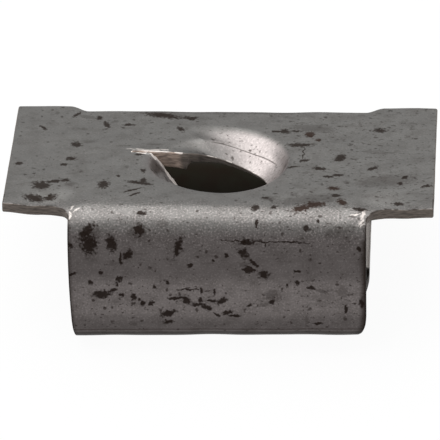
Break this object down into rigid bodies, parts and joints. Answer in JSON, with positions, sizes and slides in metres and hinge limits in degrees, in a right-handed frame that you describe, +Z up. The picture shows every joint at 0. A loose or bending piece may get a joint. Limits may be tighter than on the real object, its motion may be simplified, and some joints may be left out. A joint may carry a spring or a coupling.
{
  "type": "u clip speed nut",
  "caption": "Folded spring-steel U clip with a T-shaped head: it slides over a panel edge, and its helical thread impression takes a screw through the plain hole in the leg below.",
  "frame": {"origin": "centre of the footprint, on the surface the clip lies on", "axes": "+X across the width, +Y from the web to the open mouth, +Z up; the clip lies on its lower leg, so its top leaf slopes down towards the mouth"},
  "size_m": [0.023, 0.015, 0.0075],
  "materials": {
    "spring_steel": "satin"
  },
  "bodies": {
    "root": {"clip_nut": "spring_steel"}
  },
  "joints": []
}
